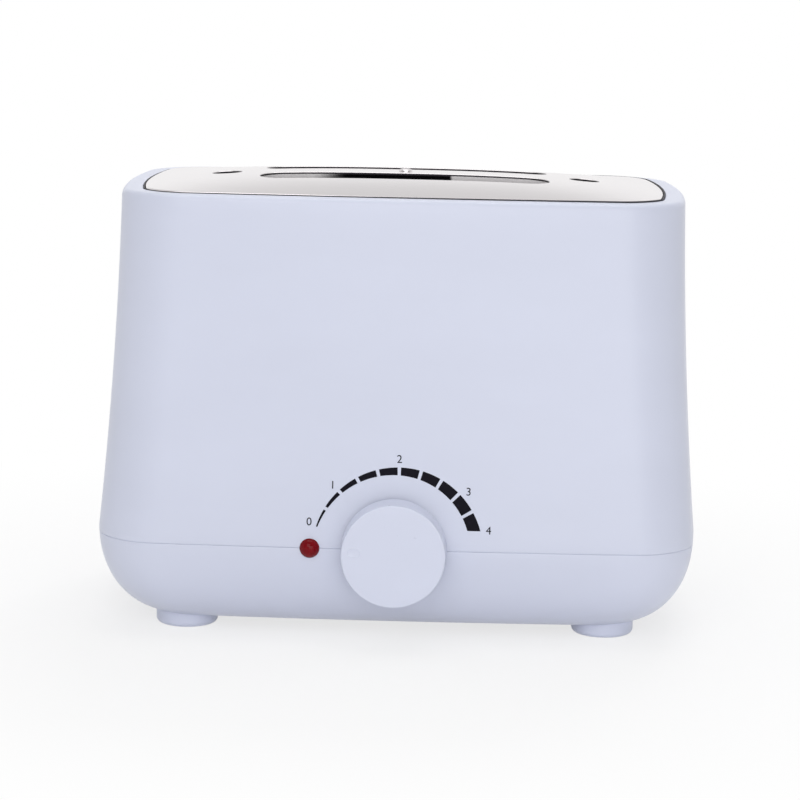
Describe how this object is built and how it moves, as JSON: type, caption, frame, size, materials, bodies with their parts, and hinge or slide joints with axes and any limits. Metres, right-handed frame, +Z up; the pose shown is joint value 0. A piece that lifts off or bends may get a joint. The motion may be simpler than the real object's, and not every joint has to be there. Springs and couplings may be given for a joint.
{
  "type": "roll-on wax heater",
  "caption": "Countertop roll-on wax heater: tapered moulded casing, domed steel deck with long slots over heated wells, and a turning temperature knob with a pilot light.",
  "frame": {"origin": "centre of the whole object's box in plan, at the feet's undersides", "axes": "+X to the right seen from the front, +Y to the back (the knob faces -Y), +Z up"},
  "size_m": [0.2498, 0.1734, 0.1878],
  "materials": {
    "casing_plastic": "satin moulded, pale lilac-white",
    "polished_steel": "finely brushed, nearly polished",
    "black_rubber": "matt",
    "zinc_steel": "bright zinc plated",
    "cast_alloy": "plain",
    "mica_board": "matt",
    "insulating_felt": "fibrous",
    "copper": "plain",
    "ceramic": "glazed",
    "red_lens": "polished, translucent red",
    "lamp_glass": "clear",
    "nylon": "natural",
    "brass": "plain"
  },
  "bodies": {
    "housing": {"upper_casing": "casing_plastic", "base_casing": "casing_plastic", "deck_plate": "polished_steel", "deck_gasket": "black_rubber", "deck_standoff": "zinc_steel", "deck_screw": "polished_steel", "carrier_plate": "zinc_steel", "carrier_screws": "zinc_steel", "front_well": "cast_alloy", "rear_well": "cast_alloy", "front_heater": "mica_board", "rear_heater": "mica_board", "front_jacket": "insulating_felt", "rear_jacket": "insulating_felt", "feeler_bulb": "copper", "feeler_clip": "zinc_steel", "thermal_fuse": "ceramic", "fuse_clip": "zinc_steel", "thermostat_body": "ceramic", "thermostat_bracket": "zinc_steel", "thermostat_nut": "zinc_steel", "bracket_screws": "zinc_steel", "indicator_lens": "red_lens", "lens_clip": "zinc_steel", "neon_lamp": "lamp_glass", "terminal_block": "nylon", "terminal_screws": "brass", "block_screws": "zinc_steel", "cord_gland": "black_rubber", "cord_clamp": "nylon", "clamp_screws": "zinc_steel", "foot_front_left": "casing_plastic", "foot_front_right": "casing_plastic", "foot_rear_left": "casing_plastic", "foot_rear_right": "casing_plastic", "foot_screws": "zinc_steel", "casing_screws": "zinc_steel"},
    "dial": {"knob": "casing_plastic", "knob_spring": "zinc_steel", "spindle": "zinc_steel"}
  },
  "joints": [
    {"name": "dial_turn", "type": "hinge", "parent": "housing", "child": "dial", "pos_m": [0, -0.0743, 0.0404], "axis": [0, 1, 0], "range_deg": [0, 160]}
  ]
}
